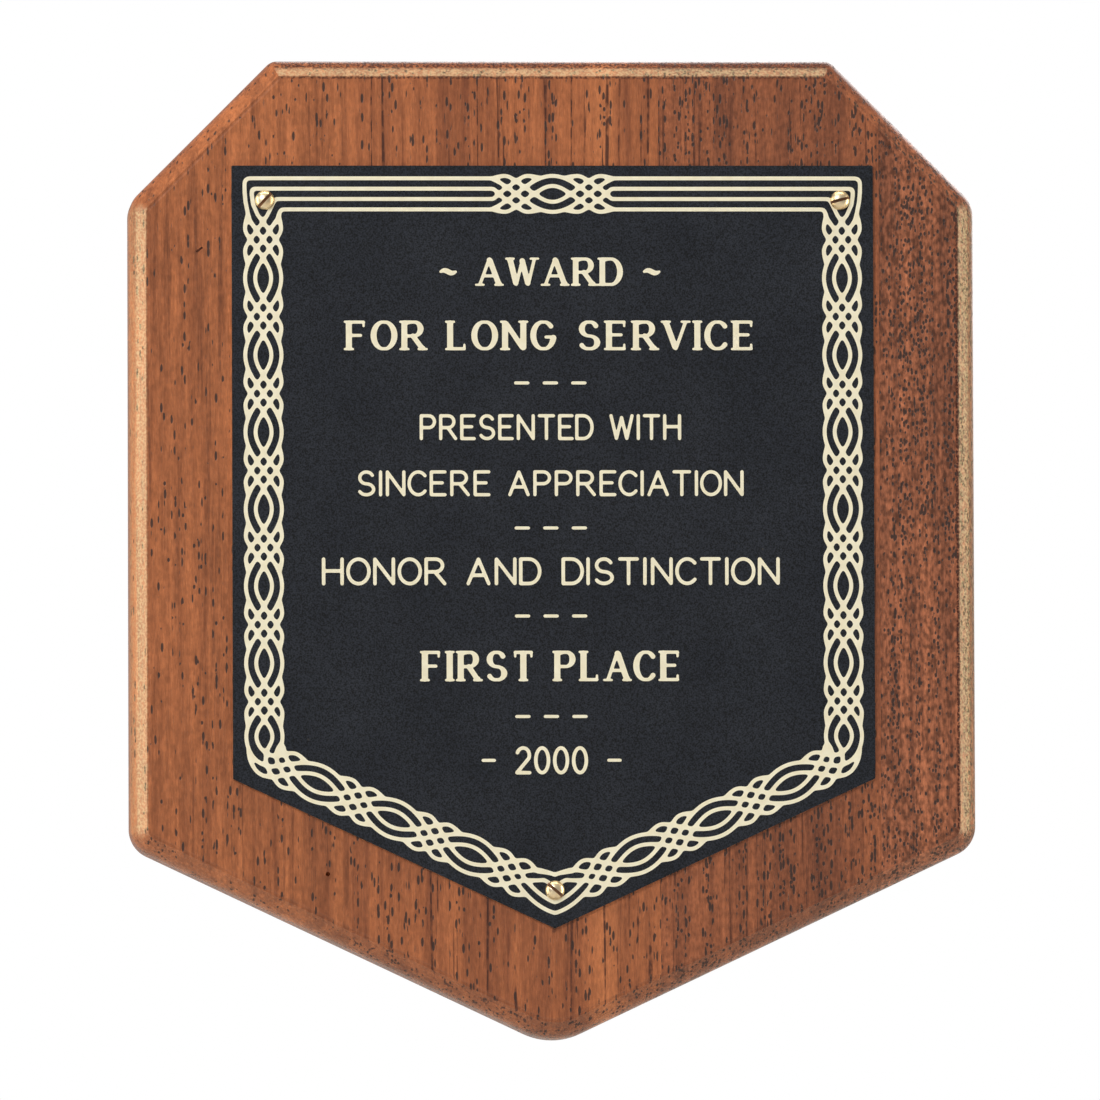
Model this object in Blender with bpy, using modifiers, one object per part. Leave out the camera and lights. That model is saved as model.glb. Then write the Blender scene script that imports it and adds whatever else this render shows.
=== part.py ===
"""Wooden presentation plaque: an edge-glued walnut shield that carries an engraved brass plate.

Metres, +Z up. The front faces -Y and the flat back lies on y = 0. The origin is the middle of the
back, half way up between the point and the top edge. Outlines are lists of (x, z) points that run
anticlockwise as seen from the front.
"""

import math

import bmesh
import bpy

MM = 0.001
INCH = 0.0254
GAP = 0.3 * MM  # clearance between pieces that touch
OVERRUN = 2 * MM  # how far a cutter reaches past the face that it opens

# Board: a shield with two cut corners above and a blunt point below
BOARD_WIDTH = 7 * INCH
BOARD_HEIGHT = 8.16 * INCH  # from the top edge to where the lower edges would meet
BOARD_THICKNESS = 0.625 * INCH
CORNER_CUT = 30 * MM  # taken off each way, so the cut is at 45 degrees
POINT_DROP = 42 * MM  # from the lower corners down to where they would meet
POINT_RADIUS = 14 * MM
CORNER_RADIUS = 0.25 * INCH
TOP_CORNER_RADIUS = 3 * MM
CORNER_STEPS = 6

# Routed front edge: a flat bevel that rolls over into the side
BEVEL_ANGLE = math.radians(40)
BEVEL_WIDTH = 1.4 * MM
ARRIS_RADIUS = 0.25 * INCH
ARRIS_STEPS = 5

# Staves: four strips glued edge to edge, named from left to right
STAVE_NAMES = ("stave_left", "stave_centre", "stave_right", "stave_edge")
GLUE_LINES = (-43.2 * MM, 22.3 * MM, 68.7 * MM)

# Engraved plate and the adhesive sheet behind it
PLATE_WIDTH = 5.3125 * INCH
PLATE_HEIGHT = 6.3125 * INCH
PLATE_SIDE = 128.9 * MM  # straight side, from the top corner to the lower corner
PLATE_TOP_MARGIN = 22.4 * MM
PLATE_THICKNESS = 0.025 * INCH
SHEET_THICKNESS = 0.2 * MM
SHEET_GAP = 0.1 * MM
SHEET_INSET = 1.5 * MM

# Plate screws: slotted round heads, number 2 by 3/8 in
HEAD_RADIUS = 0.081 * INCH
HEAD_HEIGHT = 0.062 * INCH
SHANK_RADIUS = 0.043 * INCH
SHANK_LENGTH = 0.375 * INCH
SLOT_WIDTH = 0.6 * MM
SLOT_DEPTH = 0.8 * MM
TOP_SCREW_X = 60.5 * MM
TOP_SCREW_DROP = 7.3 * MM  # below the plate's top edge
POINT_SCREW_RISE = 8.05 * MM  # above the plate's point
SLOT_TURNS = {"left": 47, "right": 15, "point": -40}  # degrees

# Keyhole hanger, let into the back of the centre stave
HANGER_Z = 62 * MM
HANGER_LENGTH = 36 * MM
HANGER_WIDTH = 16 * MM
HANGER_THICKNESS = 1.5 * MM
ENTRY_RADIUS = 4.5 * MM
ENTRY_DROP = 4 * MM  # entry hole's centre below the hanger's centre
SLOT_REACH = 7.5 * MM  # top of the narrow slot above the hanger's centre
HANG_SLOT_RADIUS = 2.3 * MM
HEAD_ROOM_RADIUS = 5.5 * MM
HEAD_ROOM_DEPTH = 8 * MM  # behind the hanger, for the head of the wall screw

# Hanger screws: slotted flat heads, number 4 by 3/8 in
FLAT_HEAD_RADIUS = 2.7 * MM
FLAT_SHANK_RADIUS = 1.35 * MM
FLAT_SHANK_LENGTH = 0.375 * INCH
FLAT_SCREW_SPACING = 27 * MM
COUNTERSINK = math.radians(41)  # half of the 82 degree cone
FLAT_SLOT_DEPTH = 0.6 * MM

ROUND_STEPS = 24  # sides of a turned piece or a round hole

# Heights and depths worked out from the above
TOP_Z = BOARD_HEIGHT / 2
POINT_Z = -BOARD_HEIGHT / 2
FRONT_Y = -BOARD_THICKNESS
SHEET_BACK_Y = FRONT_Y - SHEET_GAP
SHEET_FRONT_Y = SHEET_BACK_Y - SHEET_THICKNESS
PLATE_BACK_Y = SHEET_FRONT_Y - SHEET_GAP
PLATE_FRONT_Y = PLATE_BACK_Y - PLATE_THICKNESS
PLATE_TOP_Z = TOP_Z - PLATE_TOP_MARGIN
PLATE_POINT_Z = PLATE_TOP_Z - PLATE_HEIGHT
HANGER_BACK_Y = -GAP
HANGER_FRONT_Y = HANGER_BACK_Y - HANGER_THICKNESS
RECESS_Y = HANGER_FRONT_Y - GAP
PLATE_SCREWS = {
    "left": (-TOP_SCREW_X, PLATE_TOP_Z - TOP_SCREW_DROP),
    "right": (TOP_SCREW_X, PLATE_TOP_Z - TOP_SCREW_DROP),
    "point": (0, PLATE_POINT_Z + POINT_SCREW_RISE),
}
HANGER_SCREWS = {
    "upper": (0, HANGER_Z + FLAT_SCREW_SPACING / 2),
    "lower": (0, HANGER_Z - FLAT_SCREW_SPACING / 2),
}


# ---------------------------------------------------------------- scene and materials


def clear_scene():
    for obj in list(bpy.data.objects):
        bpy.data.objects.remove(obj)
    for collection in list(bpy.data.collections):
        bpy.data.collections.remove(collection)


def make_collection(name, hidden=False):
    collection = bpy.data.collections.new(name)
    collection.hide_render = hidden
    bpy.context.scene.collection.children.link(collection)
    return collection


def make_material(name, colour, roughness, metallic=0.0):
    material = bpy.data.materials.new(name)
    material.use_nodes = True
    shader = material.node_tree.nodes["Principled BSDF"]
    shader.inputs["Base Color"].default_value = (*colour, 1)
    shader.inputs["Roughness"].default_value = roughness
    shader.inputs["Metallic"].default_value = metallic
    material.diffuse_color = (*colour, 1)
    return material


def add_object(name, mesh, collection, material=None):
    obj = bpy.data.objects.new(name, mesh)
    collection.objects.link(obj)
    if material:
        mesh.materials.clear()
        mesh.materials.append(material)
    if collection.hide_render:
        obj.hide_render = True
        obj.display_type = "WIRE"
    return obj


def cut(obj, cutter, operation="DIFFERENCE"):
    modifier = obj.modifiers.new(cutter.name, "BOOLEAN")
    modifier.operation = operation
    modifier.object = cutter


# ---------------------------------------------------------------- outlines


def rounded(corners, radii, inset=0.0):
    """A convex outline moved in by inset, with each corner rounded to its radius less the inset."""
    points = []
    for index, (x, z) in enumerate(corners):
        before, after = corners[index - 1], corners[(index + 1) % len(corners)]
        heading_in = math.atan2(z - before[1], x - before[0])
        heading_out = math.atan2(after[1] - z, after[0] - x)
        turn = (heading_out - heading_in) % math.tau
        radius = max(radii[index] - inset, 0.2 * MM)
        reach = (inset + radius) / math.cos(turn / 2)
        towards_centre = heading_in + turn / 2 + math.pi / 2
        centre_x = x + reach * math.cos(towards_centre)
        centre_z = z + reach * math.sin(towards_centre)
        for step in range(CORNER_STEPS + 1):
            angle = heading_in - math.pi / 2 + turn * step / CORNER_STEPS
            points.append((centre_x + radius * math.cos(angle), centre_z + radius * math.sin(angle)))
    return points


def circle(x, z, radius):
    angles = [math.tau * step / ROUND_STEPS for step in range(ROUND_STEPS)]
    return [(x + radius * math.cos(a), z + radius * math.sin(a)) for a in angles]


def round_ended_slot(z_low, z_high, radius):
    """An upright slot on x = 0 whose end centres are at z_low and z_high."""
    half = ROUND_STEPS // 2
    top = [math.pi * step / half for step in range(half + 1)]
    points = [(radius * math.cos(a), z_high + radius * math.sin(a)) for a in top]
    return points + [(-radius * math.cos(a), z_low - radius * math.sin(a)) for a in top]


def keyhole():
    """The entry hole with the narrow slot that rises from it."""
    entry_z = HANGER_Z - ENTRY_DROP
    slot_z = HANGER_Z + SLOT_REACH - HANG_SLOT_RADIUS
    half = ROUND_STEPS // 2
    points = []
    for step in range(half + 1):
        angle = math.pi * step / half
        points.append((HANG_SLOT_RADIUS * math.cos(angle), slot_z + HANG_SLOT_RADIUS * math.sin(angle)))
    start = math.acos(HANG_SLOT_RADIUS / ENTRY_RADIUS)
    sweep = math.pi + 2 * start
    for step in range(ROUND_STEPS + 1):
        angle = math.pi - start + sweep * step / ROUND_STEPS
        points.append((ENTRY_RADIUS * math.cos(angle), entry_z + ENTRY_RADIUS * math.sin(angle)))
    return points


def board_corners():
    half = BOARD_WIDTH / 2
    right = [
        (half, POINT_Z + POINT_DROP),
        (half, TOP_Z - CORNER_CUT),
        (half - CORNER_CUT, TOP_Z),
    ]
    left = [(-x, z) for x, z in reversed(right)]
    return [(0, POINT_Z), *right, *left]


def plate_corners(inset=0.0):
    """The plate's five corners, moved in by inset. Its lower edges are parallel to the board's."""
    half = PLATE_WIDTH / 2 - inset
    side_z = PLATE_TOP_Z - PLATE_SIDE
    slope = (side_z - PLATE_POINT_Z) / (PLATE_WIDTH / 2)
    point_z = PLATE_POINT_Z + inset * math.hypot(1, slope)
    top_z = PLATE_TOP_Z - inset
    return [
        (0, point_z),
        (half, point_z + slope * half),
        (half, top_z),
        (-half, top_z),
        (-half, point_z + slope * half),
    ]


# ---------------------------------------------------------------- solids


def flat_mesh(name, outlines, front_y, back_y):
    """A closed sheet between two depths. Outlines after the first are holes through it."""
    curve = bpy.data.curves.new(name, "CURVE")
    curve.dimensions = "2D"
    curve.fill_mode = "BOTH"
    curve.extrude = (back_y - front_y) / 2
    for outline in outlines:
        spline = curve.splines.new("POLY")
        spline.points.add(len(outline) - 1)
        for point, (x, z) in zip(spline.points, outline):
            point.co = (x, z, 0, 1)
        spline.use_cyclic_u = True
    guide = bpy.data.objects.new(name, curve)
    bpy.context.scene.collection.objects.link(guide)
    graph = bpy.context.evaluated_depsgraph_get()
    mesh = bpy.data.meshes.new_from_object(guide.evaluated_get(graph))
    bpy.data.objects.remove(guide)
    bm = bmesh.new()
    bm.from_mesh(mesh)
    bmesh.ops.remove_doubles(bm, verts=bm.verts, dist=0.001 * MM)
    for vertex in bm.verts:
        x, z, depth = vertex.co
        vertex.co = (x, (front_y + back_y) / 2 - depth, z)
    bmesh.ops.recalc_face_normals(bm, faces=bm.faces)
    bm.to_mesh(mesh)
    bm.free()
    return mesh


def edge_profile():
    """(inset, y) down the board's edge, from the front face over the bevel and arris to the back."""
    arris_width = ARRIS_RADIUS * (1 - math.sin(BEVEL_ANGLE))
    bevel_foot_y = FRONT_Y + BEVEL_WIDTH * math.tan(BEVEL_ANGLE)
    profile = [(BEVEL_WIDTH + arris_width, FRONT_Y)]
    for step in range(ARRIS_STEPS + 1):
        angle = BEVEL_ANGLE + (math.pi / 2 - BEVEL_ANGLE) * step / ARRIS_STEPS
        drop = ARRIS_RADIUS * (math.cos(BEVEL_ANGLE) - math.cos(angle))
        profile.append((ARRIS_RADIUS * (1 - math.sin(angle)), bevel_foot_y + drop))
    profile.append((0, 0))
    return profile


def board_mesh():
    """The whole shield: its outline lofted through the edge profile, from front to back."""
    corners = board_corners()
    radii = [POINT_RADIUS, CORNER_RADIUS, CORNER_RADIUS, TOP_CORNER_RADIUS]
    radii += [TOP_CORNER_RADIUS, CORNER_RADIUS, CORNER_RADIUS]
    bm = bmesh.new()
    rings = []
    for inset, y in edge_profile():
        rings.append([bm.verts.new((x, y, z)) for x, z in rounded(corners, radii, inset)])
    for ring, behind in zip(rings, rings[1:]):
        for index in range(len(ring)):
            bm.faces.new((ring[index - 1], behind[index - 1], behind[index], ring[index]))
    bm.faces.new(rings[0])
    bm.faces.new(reversed(rings[-1]))
    bmesh.ops.recalc_face_normals(bm, faces=bm.faces)
    mesh = bpy.data.meshes.new("board")
    bm.to_mesh(mesh)
    bm.free()
    return mesh


def box_mesh(name, low, high):
    bm = bmesh.new()
    bmesh.ops.create_cube(bm, size=1)
    for vertex in bm.verts:
        vertex.co = [a + (b - a) * (c + 0.5) for a, b, c in zip(low, high, vertex.co)]
    mesh = bpy.data.meshes.new(name)
    bm.to_mesh(mesh)
    bm.free()
    return mesh


def turned(name, profile, place, collection, material=None, axis_turn=math.pi / 2):
    """A piece turned about its own Z, which axis_turn lays along -Y (the front) or +Y (the back)."""
    mesh = bpy.data.meshes.new(name)
    edges = [(index, index + 1) for index in range(len(profile) - 1)]
    mesh.from_pydata([(radius, 0, height) for radius, height in profile], edges, [])
    obj = add_object(name, mesh, collection, material)
    obj.location = place
    obj.rotation_euler = (axis_turn, 0, 0)
    lathe = obj.modifiers.new("turn", "SCREW")
    lathe.axis = "Z"
    lathe.steps = lathe.render_steps = ROUND_STEPS
    lathe.use_merge_vertices = True
    lathe.merge_threshold = 0.001 * MM
    lathe.use_smooth_shade = True
    return obj


def driver_slot(screw, width, depth, height, turn):
    """The cutter for a slot across a screw's head, whose top is at height on the screw's Z."""
    reach = HEAD_RADIUS * 2
    low = (-reach, -width / 2, height - depth)
    mesh = box_mesh(screw.name + "_slot", low, (reach, width / 2, height + OVERRUN))
    cutter = add_object(screw.name + "_slot", mesh, CUTTERS)
    cutter.parent = screw
    cutter.rotation_euler = (0, 0, turn)
    cut(screw, cutter)


# ---------------------------------------------------------------- pieces


def stave_cutters():
    """For each stave, the cutters that open its holes and recesses."""
    cutters = {name: [] for name in STAVE_NAMES}
    owners = {"left": "stave_left", "right": "stave_right", "point": "stave_centre"}
    hole = SHANK_RADIUS + GAP
    hole_end = -(SHANK_LENGTH + GAP)
    for side, (x, z) in PLATE_SCREWS.items():
        profile = [(0, OVERRUN), (hole, OVERRUN), (hole, hole_end + hole), (0, hole_end)]
        pilot = turned("pilot_" + side, profile, (x, PLATE_FRONT_Y, z), CUTTERS)
        cutters[owners[side]].append(pilot)
    hole = FLAT_SHANK_RADIUS + GAP
    hole_end = -(FLAT_SHANK_LENGTH + GAP)
    for side, (x, z) in HANGER_SCREWS.items():
        profile = [(0, OVERRUN), (hole, OVERRUN), (hole, hole_end + hole), (0, hole_end)]
        place = (x, HANGER_BACK_Y, z)
        pilot = turned("pilot_" + side, profile, place, CUTTERS, axis_turn=-math.pi / 2)
        cutters["stave_centre"].append(pilot)
    end_z = HANGER_LENGTH / 2 - HANGER_WIDTH / 2
    outline = round_ended_slot(HANGER_Z - end_z, HANGER_Z + end_z, HANGER_WIDTH / 2 + GAP)
    recess = flat_mesh("recess", [outline], RECESS_Y, OVERRUN)
    low_z = HANGER_Z - ENTRY_DROP
    high_z = HANGER_Z + SLOT_REACH - HANG_SLOT_RADIUS
    outline = round_ended_slot(low_z, high_z, HEAD_ROOM_RADIUS)
    head_room = flat_mesh("head_room", [outline], RECESS_Y - HEAD_ROOM_DEPTH, OVERRUN)
    cutters["stave_centre"] += [
        add_object("recess", recess, CUTTERS),
        add_object("head_room", head_room, CUTTERS),
    ]
    return cutters


def make_staves():
    """Each stave is the board's shape within its own strip of the width."""
    board = board_mesh()
    cutters = stave_cutters()
    sides = (-BOARD_WIDTH, *GLUE_LINES, BOARD_WIDTH)
    for index, name in enumerate(STAVE_NAMES):
        low = (sides[index] + GAP / 2, FRONT_Y - OVERRUN, -BOARD_HEIGHT)
        high = (sides[index + 1] - GAP / 2, OVERRUN, BOARD_HEIGHT)
        strip = add_object(name + "_strip", box_mesh(name + "_strip", low, high), CUTTERS)
        stave = add_object(name, board.copy(), PLAQUE, WALNUT)
        cut(stave, strip, "INTERSECT")
        for cutter in cutters[name]:
            cut(stave, cutter)


def make_plate():
    holes = [circle(x, z, SHANK_RADIUS + GAP) for x, z in PLATE_SCREWS.values()]
    sheet = flat_mesh(
        "plate_adhesive", [plate_corners(SHEET_INSET), *holes], SHEET_FRONT_Y, SHEET_BACK_Y
    )
    plate = flat_mesh("engraved_plate", [plate_corners(), *holes], PLATE_FRONT_Y, PLATE_BACK_Y)
    add_object("plate_adhesive", sheet, PLAQUE, ADHESIVE)
    add_object("engraved_plate", plate, PLAQUE, COATED_BRASS)


def make_plate_screws():
    """Domed heads that stand on the plate, with shanks that taper to a point in the wood."""
    for side, (x, z) in PLATE_SCREWS.items():
        profile = []
        for step in range(ROUND_STEPS // 4 + 1):
            angle = math.tau * step / ROUND_STEPS
            profile.append((HEAD_RADIUS * math.sin(angle), HEAD_HEIGHT * math.cos(angle) + GAP))
        profile += [
            (SHANK_RADIUS, GAP),
            (SHANK_RADIUS, -SHANK_LENGTH + 2 * SHANK_RADIUS),
            (0, -SHANK_LENGTH),
        ]
        place = (x, PLATE_FRONT_Y, z)
        screw = turned("plate_screw_" + side, profile, place, PLAQUE, BRASS)
        turn = math.radians(SLOT_TURNS[side])
        driver_slot(screw, SLOT_WIDTH, SLOT_DEPTH, HEAD_HEIGHT + GAP, turn)


def flat_head_profile(clearance=0.0, above=0.0):
    """A countersunk screw from its flat top down, grown by clearance for the hole it needs."""
    slant = clearance / math.cos(COUNTERSINK)
    head = FLAT_HEAD_RADIUS + slant
    shank = FLAT_SHANK_RADIUS + clearance
    cone = (head - shank) / math.tan(COUNTERSINK)
    top = [(0, 0), (head, 0)]
    if above:
        top = [(0, above), (head + above * math.tan(COUNTERSINK), above)]
    return [
        *top,
        (shank, -cone),
        (shank, -FLAT_SHANK_LENGTH + 2 * FLAT_SHANK_RADIUS),
        (0, -FLAT_SHANK_LENGTH),
    ]


def make_hanger():
    """The steel keyhole plate and its two countersunk screws, a little below the back face."""
    end_z = HANGER_LENGTH / 2 - HANGER_WIDTH / 2
    outline = round_ended_slot(HANGER_Z - end_z, HANGER_Z + end_z, HANGER_WIDTH / 2)
    mesh = flat_mesh("hanger_plate", [outline, keyhole()], HANGER_FRONT_Y, HANGER_BACK_Y)
    hanger = add_object("hanger_plate", mesh, PLAQUE, STEEL)
    for side, (x, z) in HANGER_SCREWS.items():
        place = (x, HANGER_BACK_Y, z)
        grown = flat_head_profile(GAP, OVERRUN)
        hole = turned("countersink_" + side, grown, place, CUTTERS, axis_turn=-math.pi / 2)
        cut(hanger, hole)
        name = "hanger_screw_" + side
        screw = turned(name, flat_head_profile(), place, PLAQUE, STEEL, axis_turn=-math.pi / 2)
        driver_slot(screw, SLOT_WIDTH, FLAT_SLOT_DEPTH, 0, math.radians(20))


clear_scene()
PLAQUE = make_collection("wooden_plaque")
CUTTERS = make_collection("cutters", hidden=True)
WALNUT = make_material("walnut", (0.33, 0.13, 0.055), 0.45)
COATED_BRASS = make_material("coated_brass", (0.028, 0.03, 0.035), 0.5)
ADHESIVE = make_material("adhesive", (0.75, 0.72, 0.6), 0.6)
BRASS = make_material("brass", (0.80, 0.55, 0.27), 0.3, 1.0)
STEEL = make_material("zinc_plated_steel", (0.62, 0.62, 0.6), 0.35, 1.0)
make_staves()
make_plate()
make_plate_screws()
make_hanger()
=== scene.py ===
"""The looks of a wooden presentation plaque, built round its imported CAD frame.

Metres, +Z up, the front faces -Y. Outlines and strokes are (x, z) points seen from the front.
"""

import math

import bmesh
import bpy
import numpy as np
from mathutils import Matrix, Vector


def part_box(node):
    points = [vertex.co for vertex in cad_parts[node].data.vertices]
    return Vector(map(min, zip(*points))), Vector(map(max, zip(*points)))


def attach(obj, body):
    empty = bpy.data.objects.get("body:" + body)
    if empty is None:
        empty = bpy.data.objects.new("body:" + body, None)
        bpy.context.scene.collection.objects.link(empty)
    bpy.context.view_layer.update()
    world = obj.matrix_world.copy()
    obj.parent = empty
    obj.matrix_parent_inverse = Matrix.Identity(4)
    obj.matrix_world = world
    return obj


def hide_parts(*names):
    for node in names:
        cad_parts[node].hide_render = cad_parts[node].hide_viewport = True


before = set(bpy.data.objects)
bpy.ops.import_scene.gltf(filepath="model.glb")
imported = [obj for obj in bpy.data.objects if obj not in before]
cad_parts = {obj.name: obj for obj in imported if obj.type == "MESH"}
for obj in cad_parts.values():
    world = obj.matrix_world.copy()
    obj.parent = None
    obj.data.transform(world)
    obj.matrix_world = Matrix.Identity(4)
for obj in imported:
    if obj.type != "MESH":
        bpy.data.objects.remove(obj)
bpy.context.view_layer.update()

MM = 0.001

# ---- sizes read from the frame

STAVES = ("stave_left", "stave_centre", "stave_right", "stave_edge")
STAVE_BOXES = [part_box(name) for name in STAVES]
HALF_WIDTH = STAVE_BOXES[-1][1][0]
TOP_Z = STAVE_BOXES[1][1][2]
POINT_Z = -TOP_Z
FRONT_Y = STAVE_BOXES[1][0][1]
GLUE_LINES = [(a[1][0] + b[0][0]) / 2 for a, b in zip(STAVE_BOXES, STAVE_BOXES[1:])]

PLATE_LOW, PLATE_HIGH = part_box("engraved_plate")
PLATE_HALF = PLATE_HIGH[0]
PLATE_TOP = PLATE_HIGH[2]
PLATE_POINT = PLATE_LOW[2]
PLATE_THICKNESS = PLATE_HIGH[1] - PLATE_LOW[1]
PLATE_SIDE = 128.9 * MM

# ---- sizes of the details

CORNER_CUT = 30 * MM
POINT_DROP = 42 * MM
POINT_RADIUS = 14 * MM
CORNER_RADIUS = 6.35 * MM
TOP_CORNER_RADIUS = 3 * MM
CORNER_STEPS = 12
BEVEL_ANGLE = math.radians(40)
BEVEL_WIDTH = 1.4 * MM
ARRIS_RADIUS = 6.35 * MM
ARRIS_STEPS = 10
QUIRK_WIDTH = 0.6 * MM  # the shallow groove left where the bevel meets the face
QUIRK_DEPTH = 0.05 * MM
BACK_ROUND = 0.4 * MM
SQUARENESS = 12  # how soon an edge stops counting as a side or as the top where it turns

SHEET_BED = 0.06 * MM  # the pressed adhesive between wood and plate
SHEET_MARGIN = 1.5 * MM  # how far it stops inside the plate's edge
SHEET_GAP = 0.01 * MM
PLATE_BACK_Y = FRONT_Y - SHEET_BED
PLATE_FRONT_Y = PLATE_BACK_Y - PLATE_THICKNESS
LINE_RELIEF = 0.035 * MM  # how far the bright lines stand from the lacquer
LINE_ROOT = 0.05 * MM  # how far they reach into it

CELL = 0.13 * MM  # grid that the engraved lines are worked out on
STROKE_MARGIN = 8  # cells drawn round a stroke
FAR_OUT = -STROKE_MARGIN * CELL
LINE_RADIUS = 0.43 * MM

# The knotwork's unit, measured from the middle of a lattice along the band and across it
PITCH = 16.18 * MM
TOP_PITCH = 15.28 * MM
LOWER_PITCH = 17.76 * MM
SIDE_INSET = 6.6 * MM
TOP_INSET = 5.95 * MM
FIRST_LATTICE_DROP = 15.6 * MM  # below the plate's top edge
SIDE_LATTICES = 7
CORNER_LATTICE_STEP = 14.6 * MM
LOWER_LATTICES = 3
LENS_OUTER = 3.8 * MM
LENS_INNER = 1.68 * MM
LATTICE_HALF = 2.68 * MM
CROSSING_REACH = 3.79 * MM
BULGE = 3.8 * MM
BULGE_REACH = 2.45 * MM
BULGE_END = 5.2 * MM  # where the bulge runs back into the wave
RAIL_INNER = 1.08 * MM
RAIL_OUTER = 3.27 * MM
RAIL_START = 5.0 * MM
CORNER_BEND = 5.3 * MM

SCREW_NODES = ("plate_screw_left", "plate_screw_right", "plate_screw_point")
HEAD_RADIUS = (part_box(SCREW_NODES[0])[1][0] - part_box(SCREW_NODES[0])[0][0]) / 2
HEAD_HEIGHT = 1.575 * MM
SHANK_RADIUS = 1.09 * MM
SHANK_LENGTH = 9.5 * MM
CLEARANCE = 0.3 * MM
SLOT_TURNS = (47, 15, -40)
PIN_HOLE = (-47.6 * MM, -67.6 * MM)  # two flaws in the left stave's face
SCRATCH = (-74.2 * MM, 63.6 * MM)

HANGER_LOW, HANGER_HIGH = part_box("hanger_plate")
HANGER_Z = (HANGER_LOW[2] + HANGER_HIGH[2]) / 2
HANGER_WIDTH = HANGER_HIGH[0] - HANGER_LOW[0]
HANGER_NODES = ("hanger_screw_upper", "hanger_screw_lower")
FLAT_HEAD_RADIUS = 2.7 * MM
FLAT_SHANK_RADIUS = 1.35 * MM
COUNTERSINK = math.radians(41)
ENTRY_Z = HANGER_Z - 4 * MM  # the keyhole's round entry
SLOT_Z = HANGER_Z + 5.2 * MM  # the upper end of its slot
ENTRY_RADIUS = 4.5 * MM
SLOT_RADIUS = 2.3 * MM
HEAD_ROOM = 8 * MM  # how deep the wood is cut behind the hanger


# ---- meshes


def new_object(name, data):
    obj = bpy.data.objects.new(name, data)
    bpy.context.scene.collection.objects.link(obj)
    return obj


def add_piece(name, mesh, material, *replaced):
    obj = new_object(name, mesh)
    mesh.materials.clear()
    mesh.materials.append(material)
    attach(obj, "root")
    if replaced:
        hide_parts(*replaced)
    return obj


def mesh_of(bm, name):
    bmesh.ops.recalc_face_normals(bm, faces=bm.faces)
    mesh = bpy.data.meshes.new(name)
    bm.to_mesh(mesh)
    bm.free()
    return mesh


def flatten(obj):
    """Shades the faces that are square to Y flat, so that rounded edges do not tint them."""
    for face in obj.data.polygons:
        if abs(face.normal.y) > 0.9999:
            face.use_smooth = False


def baked(obj):
    """Applies an object's modifiers to its mesh."""
    graph = bpy.context.evaluated_depsgraph_get()
    mesh = bpy.data.meshes.new_from_object(obj.evaluated_get(graph))
    obj.modifiers.clear()
    obj.data = mesh
    return mesh


def cut(obj, *cutters):
    """Cuts meshes, given in world space, out of an object and bakes the result."""
    helpers = []
    for mesh in cutters:
        helper = new_object("cutter", mesh)
        modifier = obj.modifiers.new("cut", "BOOLEAN")
        modifier.operation = "DIFFERENCE"
        modifier.object = helper
        helpers.append(helper)
    baked(obj)
    for helper in helpers:
        bpy.data.objects.remove(helper)


def soften(obj, width, segments=2, angle=30):
    """Rounds an object's sharp edges and bakes the result."""
    modifier = obj.modifiers.new("soften", "BEVEL")
    modifier.width = width
    modifier.segments = segments
    modifier.limit_method = "ANGLE"
    modifier.angle_limit = math.radians(angle)
    modifier.harden_normals = False
    baked(obj)
    obj.data.shade_smooth()
    obj.data.set_sharp_from_angle(angle=math.radians(50))
    flatten(obj)


def flat_mesh(name, outlines, front_y, back_y):
    """A closed sheet between two depths. Outlines inside another are holes through it."""
    curve = bpy.data.curves.new(name, "CURVE")
    curve.dimensions = "2D"
    curve.fill_mode = "BOTH"
    curve.extrude = (back_y - front_y) / 2 / MM
    for outline in outlines:
        spline = curve.splines.new("POLY")
        spline.points.add(len(outline) - 1)
        for point, (x, z) in zip(spline.points, outline):
            point.co = (x / MM, z / MM, 0, 1)
        spline.use_cyclic_u = True
    guide = new_object(name, curve)
    graph = bpy.context.evaluated_depsgraph_get()
    mesh = bpy.data.meshes.new_from_object(guide.evaluated_get(graph))
    bpy.data.objects.remove(guide)
    bm = bmesh.new()
    bm.from_mesh(mesh)
    bmesh.ops.remove_doubles(bm, verts=bm.verts, dist=0.0005)
    middle = (front_y + back_y) / 2
    for vertex in bm.verts:
        x, z, depth = vertex.co * MM
        vertex.co = (x, middle - depth, z)
    return mesh_of(bm, name)


def turned_mesh(name, profile, place, facing=-1, steps=48):
    """A solid turned about Y. The profile is (radius, height), top first, heights along facing."""
    bm = bmesh.new()
    rings = []
    for radius, height in profile:
        y = place[1] + facing * height
        if radius == 0:
            rings.append([bm.verts.new((place[0], y, place[2]))])
            continue
        ring = []
        for step in range(steps):
            angle = math.tau * step / steps
            offset = (radius * math.cos(angle), radius * math.sin(angle))
            ring.append(bm.verts.new((place[0] + offset[0], y, place[2] + offset[1])))
        rings.append(ring)
    for upper, lower in zip(rings, rings[1:]):
        for index in range(steps):
            corners = ((upper, index - 1), (lower, index - 1), (lower, index), (upper, index))
            face = [ring[at % len(ring)] for ring, at in corners]
            bm.faces.new(list(dict.fromkeys(face)))
    return mesh_of(bm, name)


def box_mesh(low, high, turn=0.0, centre=(0, 0, 0)):
    """A box, turned about the Y axis through centre."""
    bm = bmesh.new()
    bmesh.ops.create_cube(bm, size=1)
    spin = Matrix.Rotation(turn, 3, "Y")
    for vertex in bm.verts:
        point = Vector([a + (b - a) * (c + 0.5) for a, b, c in zip(low, high, vertex.co)])
        vertex.co = spin @ point + Vector(centre)
    return mesh_of(bm, "box")


# ---- outlines


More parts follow.
